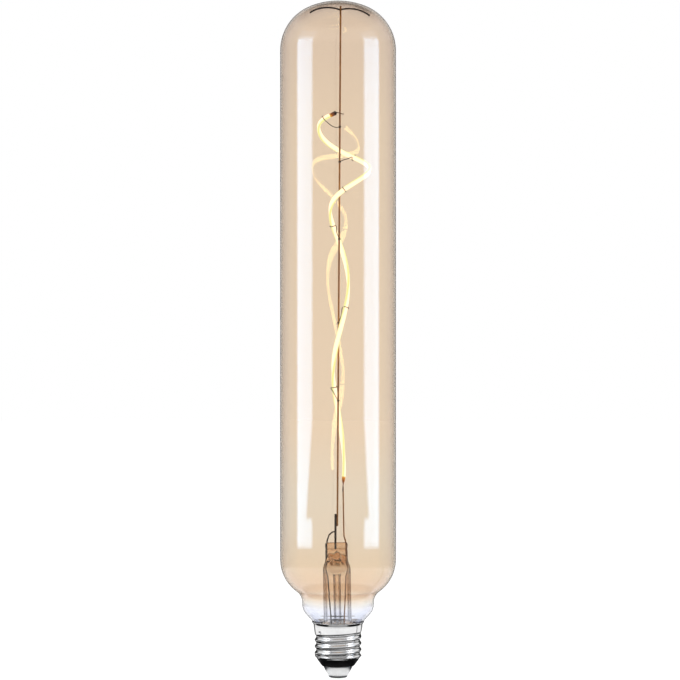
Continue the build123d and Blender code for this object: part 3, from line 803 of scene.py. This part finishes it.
# Solids that keep their CAD shape
for name, material in {
        "support_rod": iron, "rod_stub": firedIron, "side_contact_wire": iron, "base_cement": cement,
        "driver_board": board, "smoothing_capacitor": canMetal, "bridge_rectifier": chipBlack,
        "driver_chip": chipBlack, "fuse_resistor": fuseCoat}.items():
    for place in nodes[name].material_slots:
        place.material = material


# Studio: white surroundings, two tall soft boxes with slats, a pale floor, and cards for reflections only
studio = dict(ambient=0.5, floorHalf=4.0, floorGlow=1.16, floorShare=0.8, floorPatch=40.0, cardPatch=20.0,
              leftBearing=-71.0, rightBearing=71.5)
box = dict(power=10.0, glow=11.3, tint="#B4DCFF", distance=0.6, width=0.36, low=0.0155, high=0.755,
           spread=19.0, soft=0.42, sillSoft=0.006, topSoft=0.02, back=-1.0, front=2.0, columns=61, rows=161,
           rimHeights=[0, 0.043, 0.046, 0.125, 0.55, 0.755], rim=1.25, rimTop=1.6,
           leftWaist=0.7, rightWaist=0.55)
slat = dict(step=0.004, depth=0.04, standOff=0.002, front=1.6, fade=1.5, columns=27, eyeHeight=0.19,
            eyeBehind=1.19, tubeTop=0.347, tubeSide=0.03)
floorRings = [  # radius in metres, level of dark cloth in front of the lamp and behind it
    (0.0004, 1, 1), (0.0058, 1, 1), (0.0065, 0, 0), (0.0112, 0, 0), (0.012, 1, 1), (0.0192, 1, 1),
    (0.0198, 0.6, 0.6), (0.0252, 0.6, 0.6), (0.0258, 1, 1), (0.052, 1, 1), (0.064, 0, 0.9), (0.22, 0, 0.9),
    (0.36, 0.95, 0.95), (6.0, 0.95, 0.95)]
card = dict(around=96, behindLow=0.64, behindHigh=0.87, floorHeight=0.0005,
            tent=[(6.0, 1.8, 0.95, 0.95), (6.0, 2.9, 0, 0)],  # radius, height, level in front, level behind
            lid=[(0.001, 0.45, 0.9, 0.9), (0.08, 0.45, 0.9, 0.9), (0.13, 0.45, 0, 0)],
            wideLid=[(0.001, 0.451, 0.8, 0.8), (0.22, 0.451, 0.8, 0.8), (0.36, 0.451, 0, 0)],
            line=[(0.06, 0.0075, 0.0004), (0.45, 0.055, 0.0004), (0.45, 0.087, 0.0004),
                  (0.06, 0.0117, 0.0004)])


def seenDirectly(tree):
    # 1 for camera, mirror and see-through rays, 0 for the rays that light things
    rays = addNode(tree, "ShaderNodeLightPath")
    some = addNode(tree, "ShaderNodeMath", {
        0: rays.outputs["Is Camera Ray"], 1: rays.outputs["Is Glossy Ray"]}, operation="MAXIMUM")
    return addNode(tree, "ShaderNodeMath", {
        0: some.outputs[0], 1: rays.outputs["Is Transmission Ray"]}, operation="MAXIMUM").outputs[0]


def setWorld():
    # white where it is seen, a plain level for lighting
    world = bpy.data.worlds.new("whiteStudio")
    bpy.context.scene.world = world
    world.use_nodes = True
    tree = world.node_tree
    tree.nodes.clear()
    level = addNode(tree, "ShaderNodeMapRange", {
        "Value": seenDirectly(tree), "To Min": studio["ambient"], "To Max": 1.0})
    sky = addNode(tree, "ShaderNodeBackground", {"Color": (1, 1, 1, 1), "Strength": level.outputs[0]})
    addNode(tree, "ShaderNodeOutputWorld", {"Surface": sky.outputs[0]})


def stageSheet(name, corners, faces, material, hidden=(), level=None):
    # sheet from corners in metres, kept out of the named kinds of ray; level is a number per corner
    mesh = bpy.data.meshes.new(name)
    mesh.from_pydata(np.reshape(corners, (-1, 3)).tolist(), [], np.reshape(faces, (-1, 4)).tolist())
    mesh.materials.append(material)
    if level is not None:
        layer = mesh.attributes.new("level", "FLOAT", "POINT")
        layer.data.foreach_set("value", level.ravel().astype(np.float32))
    made = bpy.data.objects.new(name, mesh)
    bpy.context.scene.collection.objects.link(made)
    for ray in hidden:
        setattr(made, "visible_" + ray, False)


def softBox(name, bearing):
    # area light turned to the lamp's axis, for lighting only; bearing in degrees from the camera side
    light = bpy.data.lights.new(name, "AREA")
    light.shape = "RECTANGLE"
    light.size = box["width"]
    light.size_y = box["high"] - box["low"]
    light.energy = box["power"] * pi * light.size * light.size_y
    made = bpy.data.objects.new(name, light)
    a = radians(bearing)
    made.location = (box["distance"] * sin(a), -box["distance"] * cos(a), (box["high"] + box["low"]) / 2)
    made.rotation_euler = (pi / 2, 0, a)
    made.visible_camera = False
    made.visible_glossy = False
    made.visible_transmission = False
    bpy.context.scene.collection.objects.link(made)


def roundBox(bearing, u, distance, height):
    # points (r sin a, -r cos a, h), where a turns from the bearing towards the camera as u grows
    a = np.radians(bearing - np.sign(bearing) * u * box["spread"])
    return np.stack([distance * np.sin(a), -distance * np.cos(a), height], -1)


def boxFace(name, bearing, waist):
    # bright face of a soft box as reflections see it: level 0 to 1 over a grid, soft at the rims,
    # with its front rim drawn in by waist over the lower part
    b = box
    columns = np.linspace(b["back"], b["front"], b["columns"])
    u, h = np.meshgrid(columns, np.linspace(b["low"], b["high"], b["rows"]))
    reach = [b["rim"], b["rim"], b["rim"] - waist, b["rim"], b["rim"], b["rimTop"]]
    rim = np.interp(h, b["rimHeights"], reach)
    level = smooth(rim - u, 0, b["soft"]) * smooth(u - b["back"], 0, b["soft"])
    level *= smooth(h - b["low"], 0, b["sillSoft"]) * smooth(b["high"] - h, 0, b["topSoft"])
    index = np.arange(u.size).reshape(u.shape)
    faces = np.stack([index[:-1, :-1], index[:-1, 1:], index[1:, 1:], index[1:, :-1]], -1)
    stageSheet(name, roundBox(bearing, u, b["distance"], h), faces, boxCloth, mirrorOnly, level)


def boxLouvre(name, bearing):
    # thin slats in front of a soft box, each in line with the light that the tube or the dome turns to
    # the camera, so that the glass shows the box whole and the cap below shows the slats
    heights = np.arange(box["low"], box["high"], slat["step"])
    columns = np.linspace(box["back"], slat["front"], slat["columns"])
    h, u, k = np.meshgrid(heights, columns, [0.0, slat["depth"]], indexing="ij")
    fromTube = (h - slat["eyeHeight"]) / (slat["eyeBehind"] + box["distance"])
    fromDome = (h - slat["tubeTop"]) / (box["distance"] - slat["tubeSide"])
    inner = h - k * np.maximum(fromTube, fromDome)
    points = roundBox(bearing, u, box["distance"] - slat["standOff"] - k, inner)
    level = smooth(slat["fade"] - u, 0, box["soft"]) * smooth(u - box["back"], 0, box["soft"])
    index = np.arange(h.size).reshape(h.shape)
    faces = np.stack([index[:, :-1, 0], index[:, 1:, 0], index[:, 1:, 1], index[:, :-1, 1]], -1)
    stageSheet(name, points, faces, slatCloth, mirrorOnly, level)


def fadedByLevel(tree, shader):
    # lets the surroundings through where the sheet's own level falls
    level = addNode(tree, "ShaderNodeAttribute", attribute_name="level")
    return shaderMix(tree, level.outputs["Fac"], addNode(tree, "ShaderNodeBsdfTransparent"), shader)


def boxPaint():
    # lit diffusion cloth that fades to nothing at its rims
    made, tree = newMaterial("diffusionCloth")
    lit = addNode(tree, "ShaderNodeEmission", {"Color": linear(box["tint"]), "Strength": box["glow"]})
    useSurface(tree, fadedByLevel(tree, lit))
    return made


def floorBoard():
    # pale board that reads as white where it is seen and still takes the lamp's soft shadow
    made, tree = newMaterial("paleFloorBoard")
    grain = grainOf(tree, studio["floorPatch"])
    tone = addNode(tree, "ShaderNodeValToRGB", {"Fac": grain}, [(0.3, "#F3F3F2"), (0.8, "#F7F7F6")])
    matte = addNode(tree, "ShaderNodeBsdfDiffuse", {"Color": tone.outputs[0]})
    white = addNode(tree, "ShaderNodeEmission", {"Color": (1, 1, 1, 1), "Strength": studio["floorGlow"]})
    share = addNode(tree, "ShaderNodeMath", {
        0: seenDirectly(tree), 1: studio["floorShare"]}, operation="MULTIPLY")
    useSurface(tree, shaderMix(tree, share.outputs[0], matte, white))
    return made


def cardPaint(name, low, high, fading):
    # matte cloth with a faint cloud; fading cloth thins out where its level falls
    made, tree = newMaterial(name)
    grain = grainOf(tree, studio["cardPatch"], 2.0)
    tone = addNode(tree, "ShaderNodeValToRGB", {"Fac": grain}, [(0.3, low), (0.8, high)])
    cloth = addNode(tree, "ShaderNodeBsdfDiffuse", {"Color": tone.outputs[0]})
    useSurface(tree, fadedByLevel(tree, cloth) if fading else cloth)
    return made


def turnedCard(name, profile, hidden):
    # card turned about the lamp's axis from rows of radius, height, level in front and level behind the lamp;
    # level 0 lets the surroundings through
    a = np.linspace(0, 2 * pi, card["around"], endpoint=False)[None, :]
    r, h, front, back = [np.array(column)[:, None] + 0 * a for column in zip(*profile)]
    level = front + (back - front) * smooth(np.sin(a), card["behindLow"], card["behindHigh"])
    index = np.arange(r.size).reshape(r.shape)
    onward = np.roll(index, -1, 1)
    faces = np.stack([index[:-1], onward[:-1], onward[1:], index[1:]], -1)
    stageSheet(name, np.stack([r * np.cos(a), r * np.sin(a), h], -1), faces, fadingCloth, hidden, level)


setWorld()
boxCloth = boxPaint()
darkCloth = cardPaint("blackCardCloth", "#0A0A0A", "#121212", False)
fadingCloth = cardPaint("fadingCardCloth", "#101010", "#181818", True)
slatCloth = cardPaint("greySlatCloth", "#A2A2A4", "#AEAEB0", True)
mirrorOnly = ("camera", "transmission", "diffuse", "shadow")
for side, bearing, waist in (("Left", studio["leftBearing"], box["leftWaist"]),
                             ("Right", studio["rightBearing"], box["rightWaist"])):
    softBox("softBox" + side, bearing)
    boxFace("boxFace" + side, bearing, waist)
    boxLouvre("louvre" + side, bearing)
half = studio["floorHalf"]
quad = [(0, 1, 2, 3)]
floorCorners = [(-half, -half, 0), (half, -half, 0), (half, half, 0), (-half, half, 0)]
stageSheet("floor", floorCorners, quad, floorBoard())
floorRows = [(radius, card["floorHeight"], front, back) for radius, front, back in floorRings]
turnedCard("cardFloor", floorRows + card["tent"], mirrorOnly)
turnedCard("cardLid", card["lid"], ("camera", "diffuse", "shadow"))
turnedCard("cardWideLid", card["wideLid"], mirrorOnly)
stageSheet("cardLine", card["line"], quad, darkCloth, mirrorOnly)

# Camera: level with the middle of the lamp, 1.25 m away
shot = dict(distance=1.25, height=0.1897, aside=0.0011, imageWidth=0.3822, sensor=36.0)
camera = bpy.data.objects.new("camera", bpy.data.cameras.new("camera"))
camera.data.sensor_width = shot["sensor"]
camera.data.lens = shot["sensor"] * shot["distance"] / shot["imageWidth"]
camera.location = (shot["aside"], -shot["distance"], shot["height"])
camera.rotation_euler = (pi / 2, 0, 0)
bpy.context.scene.collection.objects.link(camera)
bpy.context.scene.camera = camera
bpy.context.scene.view_settings.view_transform = "Standard"
print("studio ready")
